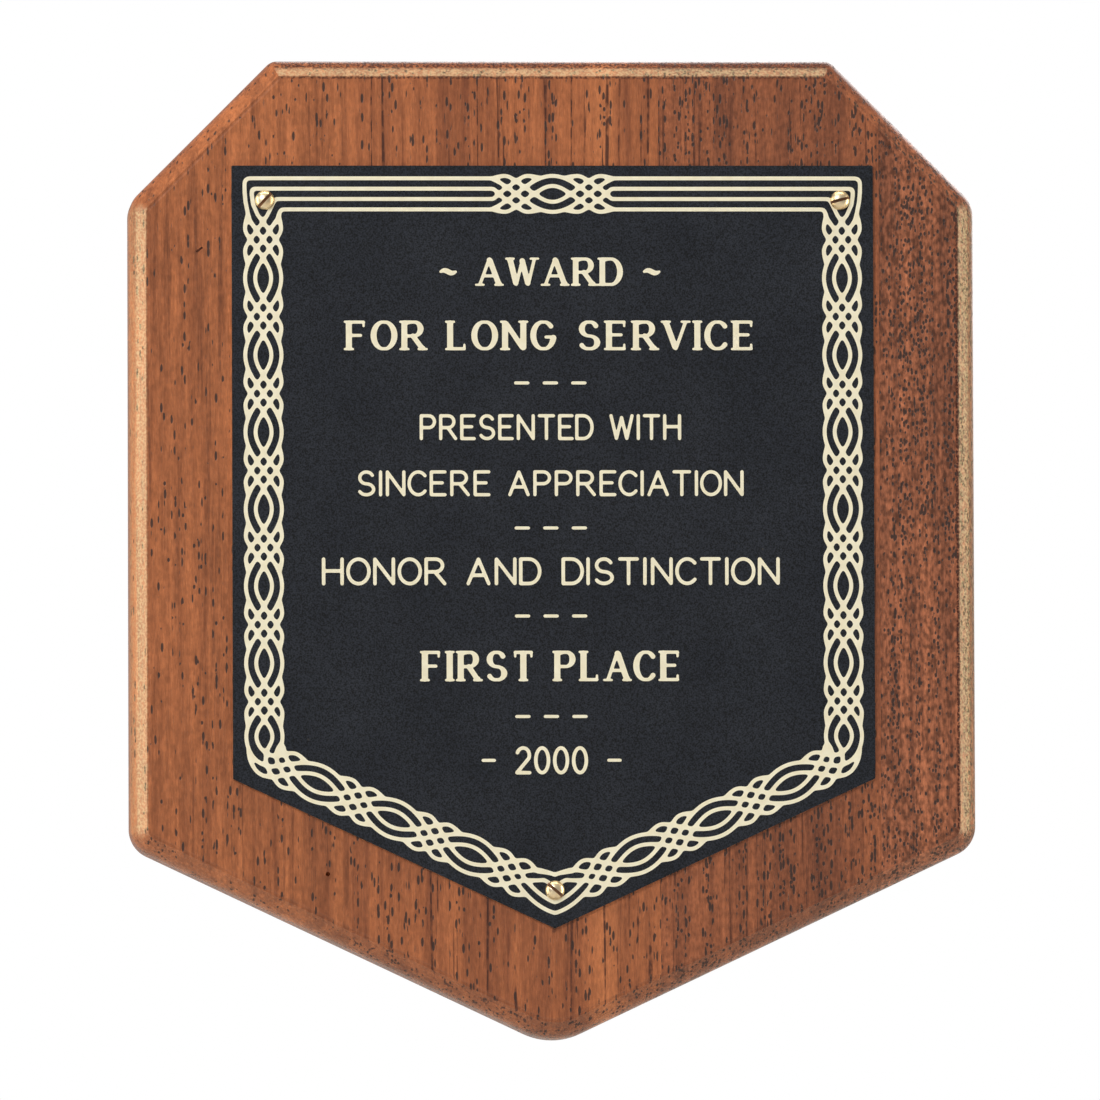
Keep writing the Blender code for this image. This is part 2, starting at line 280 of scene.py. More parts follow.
def rounded(corners, radii, inset=0.0, steps=CORNER_STEPS):
    """A convex outline moved in by inset, with each corner rounded to its radius less the inset."""
    points = []
    for index, (x, z) in enumerate(corners):
        before, after = corners[index - 1], corners[(index + 1) % len(corners)]
        heading_in = math.atan2(z - before[1], x - before[0])
        heading_out = math.atan2(after[1] - z, after[0] - x)
        turn = (heading_out - heading_in) % math.tau
        radius = max(radii[index] - inset, 0.2 * MM)
        reach = (inset + radius) / math.cos(turn / 2)
        towards_centre = heading_in + turn / 2 + math.pi / 2
        centre_x = x + reach * math.cos(towards_centre)
        centre_z = z + reach * math.sin(towards_centre)
        for step in range(steps + 1):
            angle = heading_in - math.pi / 2 + turn * step / steps
            points.append((centre_x + radius * math.cos(angle), centre_z + radius * math.sin(angle)))
    return points


def arc(x, z, across, up, start, end, steps=14):
    """Points along an ellipse's arc, with its angles in degrees."""
    angles = [math.radians(start + (end - start) * step / steps) for step in range(steps + 1)]
    return [(x + across * math.cos(a), z + up * math.sin(a)) for a in angles]


def board_outline(inset):
    right = [
        (HALF_WIDTH, POINT_Z + POINT_DROP),
        (HALF_WIDTH, TOP_Z - CORNER_CUT),
        (HALF_WIDTH - CORNER_CUT, TOP_Z),
    ]
    corners = [(0, POINT_Z), *right, *[(-x, z) for x, z in reversed(right)]]
    radii = [POINT_RADIUS, CORNER_RADIUS, CORNER_RADIUS, TOP_CORNER_RADIUS]
    radii += [TOP_CORNER_RADIUS, CORNER_RADIUS, CORNER_RADIUS]
    return rounded(corners, radii, inset)


def plate_outline(inset=0.0):
    side_z = PLATE_TOP - PLATE_SIDE
    corners = [
        (0, PLATE_POINT),
        (PLATE_HALF, side_z),
        (PLATE_HALF, PLATE_TOP),
        (-PLATE_HALF, PLATE_TOP),
        (-PLATE_HALF, side_z),
    ]
    return rounded(corners, [0.3 * MM] * 5, inset, 4)


# ---- materials


class Shader:
    """A material's node tree with short calls: add() makes a node, and values may be sockets."""

    def __init__(self, name):
        self.material = bpy.data.materials.new(name)
        self.material.use_nodes = True
        self.tree = self.material.node_tree
        self.surface = self.tree.nodes["Principled BSDF"]

    def give(self, node, socket, value):
        target = node.inputs[socket]
        if isinstance(value, bpy.types.NodeSocket):
            self.tree.links.new(value, target)
        else:
            target.default_value = value

    def add(self, kind, inputs=(), **settings):
        node = self.tree.nodes.new("ShaderNode" + kind)
        for name, value in settings.items():
            setattr(node, name, value)
        for socket, value in dict(inputs).items():
            self.give(node, socket, value)
        return node

    def set(self, **inputs):
        for name, value in inputs.items():
            self.give(self.surface, name.replace("_", " "), value)

    def place(self, scale, shift=(0, 0, 0)):
        """The piece's own coordinates, stretched by scale."""
        where = self.add("TexCoord").outputs["Object"]
        moved = self.add("Mapping", {"Vector": where, "Scale": scale, "Location": shift})
        return moved.outputs["Vector"]

    def noise(self, scale, shift=(0, 0, 0), detail=2.0, roughness=0.5, distortion=0.0):
        inputs = {"Vector": self.place(scale, shift), "Scale": 1.0, "Detail": detail}
        inputs.update({"Roughness": roughness, "Distortion": distortion})
        return self.add("TexNoise", inputs).outputs["Fac"]

    def flecks(self, scale, shift, share, size):
        """Scattered spots, one in each of a share of the cells, with a largest radius in cells."""
        cells = self.add("TexVoronoi", {"Vector": self.place(scale, shift), "Scale": 1.0})
        chance = self.add("SeparateColor", {"Color": cells.outputs["Color"]}).outputs["Red"]
        spare = self.math("SUBTRACT", self.plus(chance, share), 1.0)
        radius = self.span(spare, 0, 0.1, 0, size)
        return self.span(self.math("SUBTRACT", radius, cells.outputs["Distance"]), 0, 0.09)

    def ramp(self, factor, *stops):
        """A colour ramp through (position, colour) stops."""
        node = self.add("ValToRGB", {"Fac": factor})
        ramp = node.color_ramp
        while len(ramp.elements) < len(stops):
            ramp.elements.new(0.5)
        for element, (position, colour) in zip(ramp.elements, stops):
            element.position = position
            element.color = (*colour, 1) if len(colour) == 3 else colour
        return node.outputs["Color"]

    def span(self, value, low, high, to_low=0.0, to_high=1.0):
        inputs = {"Value": value, "From Min": low, "From Max": high}
        inputs.update({"To Min": to_low, "To Max": to_high})
        return self.add("MapRange", inputs).outputs["Result"]

    def math(self, operation, a, b):
        node = self.add("Math", operation=operation)
        self.give(node, 0, a)
        self.give(node, 1, b)
        return node.outputs[0]

    def times(self, a, b):
        return self.math("MULTIPLY", a, b)

    def plus(self, a, b):
        return self.math("ADD", a, b)

    def mix(self, factor, a, b, blend="MIX"):
        node = self.add("Mix", data_type="RGBA", blend_type=blend)
        self.give(node, 0, factor)
        self.give(node, 6, a)
        self.give(node, 7, b)
        return node.outputs[2]

    def attribute(self, name):
        return self.add("Attribute", attribute_name=name).outputs["Fac"]

    def bump(self, height, strength, distance, normal=None):
        inputs = {"Height": height, "Strength": strength, "Distance": distance}
        if normal:
            inputs["Normal"] = normal
        return self.add("Bump", inputs).outputs["Normal"]


def colour(red, green, blue):
    """Linear RGBA from display values of 0 to 255."""
    values = [c / 255 for c in (red, green, blue)]
    return (*[v / 12.92 if v <= 0.04045 else ((v + 0.055) / 1.055) ** 2.4 for v in values], 1.0)


PALE_STRIPE = (GLUE_LINES[1] - 16 * MM, GLUE_LINES[1] - 8.5 * MM)
PALE_WOOD = colour(208, 128, 80)
GROWTH_LINE = colour(66, 35, 27)
OPEN_PORE = colour(38, 20, 16)
# Painted shade for the slanting corner and lower edges
SLOPE_SHADE = colour(84, 32, 18)
# Painted shade, with a little gathered stain, for the groove and the top arris's outer band
STAIN_AND_EDGE_SHADE = colour(68, 26, 15)
# Painted highlight: the cream that the side and top bevels are lightened towards
HIGHLIGHT_CREAM = colour(224, 200, 158)
# For each stave: where its grain is taken from, its light and dark tones, how many of the cells
# of long and of short pores are open, how mottled it is and how dark its thin growth lines are
WALNUT = {
    "stave_left": ((3.1, 0.4, 1.7), (191, 115, 72), (132, 76, 48), 0.18, 0.08, 0.13, 0.35),
    "stave_centre": ((7.7, 2.2, 4.3), (184, 110, 69), (124, 70, 46), 0.28, 0.08, 0.10, 0.9),
    "stave_right": ((1.3, 5.9, 8.8), (164, 97, 64), (105, 60, 42), 0.34, 0.26, 0.20, 0.7),
    "stave_edge": ((9.4, 8.1, 2.6), (164, 99, 69), (102, 60, 43), 0.16, 0.74, 0.46, 0.3),
}


def walnut(node):
    """Lacquered walnut with upright grain: growth streaks, fibres and open pores."""
    shift, light, dark, dashes, dots, mottle, lined = WALNUT[node]
    light, dark = colour(*light), colour(*dark)
    wood = Shader(node.replace("stave", "walnut"))
    drift = wood.noise((70, 70, 4), shift, detail=3)
    streaks = wood.noise((420, 420, 20), shift, detail=4, roughness=0.6, distortion=0.4)
    fine = wood.noise((1500, 1500, 130), shift, detail=3, roughness=0.6)
    fibres = wood.noise((4400, 4400, 700), shift)
    tone = wood.times(streaks, 0.46)
    tone = wood.plus(tone, wood.times(drift, 0.34))
    tone = wood.plus(tone, wood.times(fine, 0.2))
    middle = [0.5 * a + 0.5 * b for a, b in zip(light, dark)]
    base = wood.ramp(tone, (0.37, dark), (0.49, middle), (0.60, light))
    if node == "stave_centre":
        # A pale stripe a little short of the glue line
        across = wood.add("SeparateXYZ", {"Vector": wood.place((1, 1, 1))}).outputs["X"]
        rise = wood.span(across, PALE_STRIPE[0], PALE_STRIPE[0] + 3 * MM)
        fall = wood.span(across, PALE_STRIPE[1] - 1.5 * MM, PALE_STRIPE[1], 1, 0)
        band = wood.times(rise, fall)
        base = wood.mix(wood.times(band, 0.5), base, PALE_WOOD)
    grain = wood.ramp(fibres, (0.3, (0.86, 0.85, 0.84)), (0.7, (1.10, 1.10, 1.10)))
    base = wood.mix(1.0, base, grain, "MULTIPLY")
    patches = wood.noise((1250, 1250, 700), shift)
    patches = wood.ramp(patches, (0.36, [1 - mottle] * 3), (0.64, [1 + mottle] * 3))
    base = wood.mix(1.0, base, patches, "MULTIPLY")
    lines = wood.noise((800, 800, 16), [s + 3 for s in shift], distortion=0.9)
    breaks = wood.noise((600, 600, 420), [s + 5 for s in shift])
    line = wood.times(wood.span(lines, 0.60, 0.65), wood.span(breaks, 0.36, 0.52, 0.3, 1))
    base = wood.mix(wood.times(line, lined), base, GROWTH_LINE)
    # Open pores, which gather in upright tracks
    tracks = wood.noise((600, 600, 11), [s + 7 for s in shift], distortion=0.7)
    gather = wood.span(tracks, 0.44, 0.60, 0.35, 1.9)
    long_pores = wood.flecks((1400, 1400, 400), shift, wood.times(gather, dashes), 0.46)
    short_pores = wood.flecks((1300, 1300, 800), shift, wood.times(gather, dots), 0.43)
    pores = wood.math("MAXIMUM", long_pores, short_pores)
    base = wood.mix(wood.times(pores, 0.9), base, OPEN_PORE)
    # The worked edges: painted shade, with a little gathered stain, in the groove and on the top arris,
    # painted shade on the slanting edges and a painted highlight on the side and top bevels
    edge_breakup = wood.noise((1900, 1900, 1900), shift, detail=1)
    # Painted shade, with a little gathered stain: dark in the groove and on the top arris's outer band,
    # broken up by noise
    stain_and_shade_amount = wood.times(wood.attribute("stain_and_edge_shade"), wood.span(edge_breakup, 0.42, 0.58, 0.15, 0.9))
    base = wood.mix(stain_and_shade_amount, base, STAIN_AND_EDGE_SHADE)
    # Painted shade, laid evenly over the slanting edges
    base = wood.mix(wood.times(wood.attribute("shade"), 0.16), base, SLOPE_SHADE)
    # Painted highlight on the side and top bevels, broken up by noise; the same mask also makes them a
    # little rougher
    painted_highlight = wood.attribute("painted_highlight")
    highlight_amount = wood.times(painted_highlight, wood.span(edge_breakup, 0.38, 0.60, 0.48, 0.12))
    base = wood.mix(highlight_amount, base, HIGHLIGHT_CREAM)
    gloss = wood.span(fine, 0.3, 0.7, 0.21, 0.31)
    gloss = wood.plus(gloss, wood.times(painted_highlight, 0.2))
    wood.set(Roughness=wood.plus(gloss, wood.times(pores, 0.25)))
    pitted = wood.bump(wood.math("SUBTRACT", 1.0, pores), 0.5, 0.06 * MM)
    wood.set(Normal=wood.bump(fibres, 0.12, 0.03 * MM, pitted))
    wood.set(Base_Color=base, Specular_IOR_Level=0.5, Coat_Weight=0.06, Coat_Roughness=0.25)
    return wood.material


def lacquered_black(name):
    """Matt black lacquer with a faint orange peel and a few specks of dust."""
    coat = Shader(name)
    cloud = coat.noise((60, 60, 60), detail=3)
    peel = coat.noise((2600, 2600, 2600))
    specks = coat.noise((900, 900, 900), (3, 1, 5), detail=0)
    base = coat.ramp(cloud, (0.3, (0.0105, 0.0126, 0.0185)), (0.7, (0.0145, 0.0170, 0.0240)))
    grain = coat.noise((3400, 3400, 3400), (2, 7, 1), detail=1)
    base = coat.mix(1.0, base, coat.ramp(grain, (0.34, [0.35] * 3), (0.66, [1.9] * 3)), "MULTIPLY")
    dust = coat.span(specks, 0.865, 0.9)
    base = coat.mix(coat.times(dust, 0.5), base, colour(70, 66, 62))
    coat.set(Base_Color=base, Specular_IOR_Level=0.22)
    coat.set(Roughness=coat.span(cloud, 0.3, 0.7, 0.46, 0.54))
    coat.set(Normal=coat.bump(peel, 0.25, 0.02 * MM))
    return coat.material


def metal(name, light, dark, roughness, scratch, metallic=1.0, scale=(700, 700, 700)):
    """Bright metal, mottled between two tones, with fine scratches."""
    shader = Shader(name)
    mottle = shader.noise((420, 420, 420), detail=4)
    lines = shader.noise(scale)
    base = shader.ramp(mottle, (0.32, dark), (0.68, light))
    shader.set(Base_Color=base, Metallic=metallic)
    shader.set(Roughness=shader.span(lines, 0.3, 0.7, roughness - 0.06, roughness + 0.08))
    shader.set(Normal=shader.bump(lines, scratch, 0.02 * MM))
    return shader.material


def adhesive(name):
    sheet = Shader(name)
    fibres = sheet.noise((900, 900, 900), detail=3)
    base = sheet.ramp(fibres, (0.3, (0.62, 0.56, 0.42)), (0.7, (0.76, 0.71, 0.58)))
    sheet.set(Base_Color=base, Roughness=sheet.span(fibres, 0.3, 0.7, 0.45, 0.65))
    sheet.set(Normal=sheet.bump(fibres, 0.2, 0.03 * MM))
    return sheet.material


# ---- the wood


def edge_profile():
    """(inset, y, groove, inner, outer) down the edge: face, groove, bevel, arris, side, back.

    The last three are 1 in the groove, on the bevel, and on the arris beyond it.
    """
    arris_width = ARRIS_RADIUS * (1 - math.sin(BEVEL_ANGLE))
    total = BEVEL_WIDTH + arris_width
    slope = math.tan(BEVEL_ANGLE)
    groove = total + QUIRK_WIDTH * 0.35
    profile = [
        (total + 3 * QUIRK_WIDTH, FRONT_Y, 0, 0, 0),
        (total + QUIRK_WIDTH, FRONT_Y, 0, 0, 0),
        (groove, FRONT_Y + QUIRK_DEPTH, 1, 0, 0),
        (total, FRONT_Y + QUIRK_DEPTH, 0.9, 0.2, 0),
        (total - 0.25 * MM, FRONT_Y + QUIRK_DEPTH, 0, 0.9, 0),
    ]
    foot_y = FRONT_Y + BEVEL_WIDTH * slope
    for step in range(ARRIS_STEPS + 1):
        angle = BEVEL_ANGLE + (math.pi / 2 - BEVEL_ANGLE) * step / ARRIS_STEPS
        drop = ARRIS_RADIUS * (math.cos(BEVEL_ANGLE) - math.cos(angle))
        inner = min(max(1.5 - step / 2, 0), 1)
        outer = min(step / 2, 1)
        profile.append((ARRIS_RADIUS * (1 - math.sin(angle)), foot_y + drop, 0, inner, outer))
    profile += [(0, -3 * BACK_ROUND, 0, 0, 0), (0, -BACK_ROUND, 0, 0, 0)]
    profile += [(0.3 * BACK_ROUND, -0.3 * BACK_ROUND, 0, 0, 0), (BACK_ROUND, 0, 0, 0, 0)]
    profile += [(4 * BACK_ROUND, 0, 0, 0, 0)]
    return profile


def board_bmesh():
    """The whole board, with three vertex masks: painted shade, with a little gathered stain, in the
    groove and on the top arris; a painted highlight on the side and top bevels; and painted shade on
    the slanting edges."""
    bm = bmesh.new()
    stain_and_edge_shade = bm.verts.layers.float.new("stain_and_edge_shade")
    painted_highlight = bm.verts.layers.float.new("painted_highlight")
    shade = bm.verts.layers.float.new("shade")
    rings = []
    for inset, y, groove, inner, outer in edge_profile():
        ring = []
        outline = board_outline(inset)
        before = outline[-1:] + outline[:-1]
        after = outline[1:] + outline[:1]
        for (x, z), behind, ahead in zip(outline, before, after):
            run = (Vector(ahead) - Vector(behind)).normalized()
            side = abs(run.y) ** SQUARENESS
            right = max(run.y, 0) ** SQUARENESS
            top = max(-run.x, 0) ** SQUARENESS
            vertex = bm.verts.new((x, y, z))
            # Painted shade, with a little gathered stain: in the groove, heaviest on the right and the
            # top, and over the top arris's outer band
            vertex[stain_and_edge_shade] = groove * (0.25 + 1.5 * right + 0.8 * top) + outer * top
            # Painted shade on the slanting edges, those that are neither side nor top
            vertex[shade] = min(inner + outer, 1) * (1 - min(side + top, 1))
            # Painted highlight: on the side bevels and arrises and on the top bevel, none on the
            # slanting edges
            vertex[painted_highlight] = inner * side + max(inner - outer, 0) * top + 0.5 * outer * side
            ring.append(vertex)
        rings.append(ring)
    for ring, behind in zip(rings, rings[1:]):
        for index in range(len(ring)):
            face = bm.faces.new((ring[index - 1], behind[index - 1], behind[index], ring[index]))
            face.smooth = True
    bm.faces.new(rings[0])
    bm.faces.new(reversed(rings[-1]))
    return bm


def stave_mesh(name, low, high):
    """The board's shape between two glue lines, each cut closed by a flat face."""
    bm = board_bmesh()
    for x, side in ((low, -1), (high, 1)):
        if abs(x) >= HALF_WIDTH:
            continue
        everything = [*bm.verts, *bm.edges, *bm.faces]
        found = bmesh.ops.bisect_plane(
            bm, geom=everything, plane_co=(x, 0, 0), plane_no=(side, 0, 0), clear_outer=True
        )
        edges = [e for e in found["geom_cut"] if isinstance(e, bmesh.types.BMEdge)]
        bmesh.ops.contextual_create(bm, geom=edges)
    mesh = mesh_of(bm, name)
    mesh.set_sharp_from_angle(angle=math.radians(38))
    return mesh


def round_ended_slot(z_low, z_high, radius):
    """An upright slot on x = 0 whose end centres are at z_low and z_high."""
    upper = arc(0, z_high, radius, radius, 0, 180, 20)
    return upper + arc(0, z_low, radius, radius, 180, 360, 20)


def centre_of(node):
    low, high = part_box(node)
    return [(a + b) / 2 for a, b in zip(low, high)]


def screw_places():
    return [(centre_of(node)[0], centre_of(node)[2]) for node in SCREW_NODES]


def pilot_mesh(shank, place, facing):
    """A cutter for the blind hole that a screw stands in, from its head's underside or face."""
    hole = shank + CLEARANCE
    profile = [(0, 3 * MM), (hole, 3 * MM), (hole, -SHANK_LENGTH), (0, -SHANK_LENGTH - hole)]
    return turned_mesh("pilot", profile, place, facing)


def flaw_meshes():
    """Cutters for a pin hole and a short slanting scratch in the face."""
    radius = 0.48 * MM
    profile = [(0, MM), (radius, MM), (radius, -MM), (0, -1.4 * MM)]
    hole = turned_mesh("pin_hole", profile, (PIN_HOLE[0], FRONT_Y, PIN_HOLE[1]), steps=16)
    low, high = (-0.8 * MM, -MM, -0.22 * MM), (0.8 * MM, 0.7 * MM, 0.22 * MM)
    return [hole, box_mesh(low, high, math.radians(-38), (SCRATCH[0], FRONT_Y, SCRATCH[1]))]


def hanger_cutters():
    """Cutters for the hanger's recess, the room behind it for a screw head, and its screw holes."""
    end = (HANGER_HIGH[2] - HANGER_LOW[2] - HANGER_WIDTH) / 2
    outline = round_ended_slot(HANGER_Z - end, HANGER_Z + end, HANGER_WIDTH / 2 + CLEARANCE)
    floor_y = HANGER_LOW[1] - CLEARANCE
    cutters = [flat_mesh("recess", [outline], floor_y, 2 * MM)]
    outline = round_ended_slot(ENTRY_Z, SLOT_Z, ENTRY_RADIUS + MM)
    cutters.append(flat_mesh("head_room", [outline], floor_y - HEAD_ROOM, 2 * MM))
    for node in HANGER_NODES:
        x, _, z = centre_of(node)
        cutters.append(pilot_mesh(FLAT_SHANK_RADIUS, (x, HANGER_HIGH[1], z), 1))
    return cutters


def make_staves():
    sides = (-HALF_WIDTH, *GLUE_LINES, HALF_WIDTH)
    pilots = [pilot_mesh(SHANK_RADIUS, (x, PLATE_FRONT_Y, z), -1) for x, z in screw_places()]
    holes = {
        "stave_left": [pilots[0], *flaw_meshes()],
        "stave_centre": [pilots[2], *hanger_cutters()],
        "stave_right": [pilots[1]],
    }
    for index, node in enumerate(STAVES):
        mesh = stave_mesh(node + "_wood", sides[index], sides[index + 1])
        stave = add_piece(node + "_wood", mesh, walnut(node), node)
        if node in holes:
            cut(stave, *holes[node])
        flatten(stave)


# ---- engraved lines


class Engraving:
    """A grid over the plate that holds, at each point, how deep inside a line it lies."""

    def __init__(self):
        self.low = np.array((-PLATE_HALF, PLATE_POINT))
        size = np.array((PLATE_HALF, PLATE_TOP)) - self.low
        self.shape = tuple(np.ceil(size / CELL).astype(int)[::-1] + 1)
        self.field = np.full(self.shape, FAR_OUT)

    def stroke(self, points, radius):
        """Draws a line through points. The radius is one number, or one for each point."""
        points = np.array(points, float)
        radius = np.broadcast_to(radius, len(points))
        runs = np.hypot(*np.diff(points, axis=0).T)
        along = np.concatenate([[0], np.cumsum(runs)])
        count = max(int(along[-1] / (0.8 * CELL)), 1)
        at = np.linspace(0, along[-1], count + 1)
        x, z = (np.interp(at, along, points[:, axis]) for axis in (0, 1))
        wide = np.interp(at, along, radius)
        reach = int(np.ceil(wide.max() / CELL)) + STROKE_MARGIN
        step = np.arange(-reach, reach + 1)
        column = np.rint((x - self.low[0]) / CELL).astype(int)[:, None, None] + step[None, None, :]
        row = np.rint((z - self.low[1]) / CELL).astype(int)[:, None, None] + step[None, :, None]
        off_x = self.low[0] + column * CELL - x[:, None, None]
        off_z = self.low[1] + row * CELL - z[:, None, None]
        depth = wide[:, None, None] - np.sqrt(off_x**2 + off_z**2)
        row, column = np.broadcast_arrays(row, column)
        inside = (row >= 0) & (row < self.shape[0]) & (column >= 0) & (column < self.shape[1])
        np.maximum.at(self.field, (row[inside], column[inside]), depth[inside])

    def mirror(self):
        """Copies the left half onto the right."""
        self.field = np.maximum(self.field, self.field[:, ::-1])

    def soften(self, passes):
        """Blurs the field a little, which fills the corners where lines cross."""
        for _ in range(passes):
            for axis in (0, 1):
                before = np.roll(self.field, 1, axis)
                after = np.roll(self.field, -1, axis)
                self.field = (before + 2 * self.field + after) / 4

    def loops(self):
        """The closed outlines where the field passes through zero."""
        field = self.field
        inside = field > 0
        links = {}
        code = (
            inside[:-1, :-1] * 1 + inside[:-1, 1:] * 2 + inside[1:, 1:] * 4 + inside[1:, :-1] * 8
        )
        # For each case the edges walked from and to: 0 low, 1 right, 2 high, 3 left
        walks = {
            1: [(0, 3)], 2: [(1, 0)], 3: [(1, 3)], 4: [(2, 1)], 5: [(0, 1), (2, 3)],
            6: [(2, 0)], 7: [(2, 3)], 8: [(3, 2)], 9: [(0, 2)], 10: [(3, 0), (1, 2)],
            11: [(1, 2)], 12: [(3, 1)], 13: [(0, 1)], 14: [(3, 0)],
        }
        rows, columns = np.nonzero((code > 0) & (code < 15))
        for row, column in zip(rows.tolist(), columns.tolist()):
            edges = ((row, column, 0), (row, column + 1, 1), (row + 1, column, 0), (row, column, 1))
            for start, end in walks[int(code[row, column])]:
                links[edges[start]] = edges[end]
        loops = []
        while links:
            first, edge = links.popitem()
            loop = [first]
            while edge != first:
                loop.append(edge)
                edge = links.pop(edge)
            loops.append(self.thinned(np.array([self.crossing(e) for e in loop])))
        return [loop for loop in loops if len(loop) > 2]

    def crossing(self, edge):
        row, column, upright = edge
        a = self.field[row, column]
        b = self.field[row + upright, column + 1 - upright]
        share = a / (a - b)
        x = self.low[0] + (column + share * (1 - upright)) * CELL
        z = self.low[1] + (row + share * upright) * CELL
        return x, z

    def thinned(self, loop, tolerance=0.008 * MM, longest=24):
        """Drops the points of a loop that lie on a straight line with their neighbours."""
        kept = [0]
        while kept[-1] < len(loop) - 1:
            start = kept[-1]
            reach = start + 1
            while reach < len(loop) - 1 and reach - start < longest:
                chord = loop[reach + 1] - loop[start]
                between = loop[start + 1 : reach + 1] - loop[start]
                off = np.abs(chord[0] * between[:, 1] - chord[1] * between[:, 0])
                if off.max() > tolerance * math.hypot(*chord):
                    break
                reach += 1
            kept.append(reach)
        return loop[kept[:-1] if len(kept) > 4 else kept]


# ---- knotwork border


def weave(reach, pitch):
    """Offsets from the band's middle of the weave's lines, from a lattice to a lens's middle.

    reach is how far along the band from the lattice's middle. Three lines each way: the wave that
    crosses in the lattice, the lens's inner arc, and the bulge that joins its outer arc.
    """
    half = pitch / 2
    wave = LENS_OUTER * np.sin(np.pi * reach / pitch)
    straight = LATTICE_HALF * (1 - reach / CROSSING_REACH)
    inner_arc = -LENS_INNER * np.sin(np.pi / 2 * (reach - CROSSING_REACH) / (half - CROSSING_REACH))
    inner = np.where(reach < CROSSING_REACH, straight, inner_arc)
    joins = LENS_OUTER * math.sin(math.pi * BULGE_END / pitch)
    return wave, inner, np.where(reach < BULGE_END, bulged(reach, BULGE_END, joins), wave)


def bulged(reach, end, offset):
    """Half the lattice's width, out to the bulge, then back to the given offset at end."""
    out = LATTICE_HALF + (BULGE - LATTICE_HALF) * np.sin(np.pi / 2 * reach / BULGE_REACH)
    share = np.clip((reach - BULGE_REACH) / (end - BULGE_REACH), 0, 1)
    return np.where(reach < BULGE_REACH, out, BULGE + (offset - BULGE) * share**1.7)


class Band:
    """A bent centreline that offsets are taken from: right of the way it runs is positive."""

    def __init__(self, points):
        self.points = np.array(points, float)
        runs = np.hypot(*np.diff(self.points, axis=0).T)
        self.along = np.concatenate([[0], np.cumsum(runs)])
        self.length = self.along[-1]

    def middle(self, along):
        return np.stack([np.interp(along, self.along, self.points[:, k]) for k in (0, 1)], 1)

    def at(self, along, across):
        step = 0.05 * MM
        way = self.middle(along + step) - self.middle(along - step)
        way /= np.hypot(*way.T)[:, None]
        right = np.stack([way[:, 1], -way[:, 0]], 1)
        return self.middle(along) + right * np.broadcast_to(across, len(way))[:, None]


def draw_lens(engraving, band, start, pitch, direction=1):
    """Half of a lens: the weave from the lattice at start towards the lens's middle."""
    reach = np.linspace(0, pitch / 2, 40)
    for line in weave(reach, pitch):
        for side in (1, -1):
            engraving.stroke(band.at(start + direction * reach, side * line), LINE_RADIUS)


def bent(points, radius):
    """A polyline with its corners rounded."""
    result = [points[0]]
    for before, corner, after in zip(points, points[1:], points[2:]):
        back, on = Vector(before) - Vector(corner), Vector(after) - Vector(corner)
        angle = back.angle(on)
        length = radius / math.tan(angle / 2)
        start = Vector(corner) + back.normalized() * length
        end = Vector(corner) + on.normalized() * length
        for step in range(9):
            t = step / 8
            curve = start * (1 - t) ** 2 + Vector(corner) * 2 * t * (1 - t) + end * t**2
            result.append(tuple(curve))
    result.append(points[-1])
    return result


def draw_side(engraving):
    """The left side and lower left edge, down to the plaque's middle line."""
    x = -PLATE_HALF + SIDE_INSET
    top = PLATE_TOP - FIRST_LATTICE_DROP
    slope = (PLATE_TOP - PLATE_SIDE - PLATE_POINT) / PLATE_HALF
    middle_z = PLATE_POINT + SIDE_INSET * math.hypot(1, slope)
    corner = (x, middle_z - slope * x)
    beyond = (20 * MM, middle_z - slope * 20 * MM)
    band = Band(bent([(x, top + 20 * MM), (x, top), corner, beyond], CORNER_BEND))
    start = 20 * MM
    lattices = [start + PITCH * k for k in range(SIDE_LATTICES)]
    corner_lattice = lattices[-1] + CORNER_LATTICE_STEP
    lower = [corner_lattice + LOWER_PITCH * k for k in range(LOWER_LATTICES + 1)]
    pitches = [PITCH] * (SIDE_LATTICES - 1) + [CORNER_LATTICE_STEP] + [LOWER_PITCH] * LOWER_LATTICES
    places = lattices + lower
    for place, pitch in zip(places, pitches):
        draw_lens(engraving, band, place, pitch)
        draw_lens(engraving, band, place + pitch, pitch, -1)
    middle_along = band.length - (band.at(np.array([band.length]), 0)[0][0]) * math.hypot(1, slope)
    last_pitch = 2 * (middle_along - places[-1])
    reach = np.linspace(0, 0.75 * last_pitch, 60)
    wave, inner, bulge = weave(reach, last_pitch)
    before_node = reach <= CROSSING_REACH
    lines = ((wave, 1), (bulge, 1), (bulge, -1), (inner, -1), (inner[before_node], 1))
    for line, side in lines:
        engraving.stroke(band.at(places[-1] + reach[: len(line)], side * line), LINE_RADIUS)
    node = tuple(band.at(np.array([places[-1] + CROSSING_REACH]), 0)[0])
    upper = band.at(places[-1] + reach, -wave)
    upper = [tuple(point) for point in upper if point[0] < -6 * MM]
    upper += scaled((-3.2, 12.35), (-1.0, 11.7), (0, 11.05), low=PLATE_POINT)
    engraving.stroke(upper, np.array([0.95] * (len(upper) - 1) + [0.65]) * LINE_RADIUS)
    heart = scaled((-3.4, 10.1), (-2.3, 10.2), (-1.2, 9.6), (-0.6, 8.8), low=PLATE_POINT)
    engraving.stroke(bent([node, *heart], 0.4 * MM), LINE_RADIUS)


def scaled(*points, low=0.0):
    """Points given in millimetres, raised by low."""
    return [(x * MM, low + z * MM) for x, z in points]


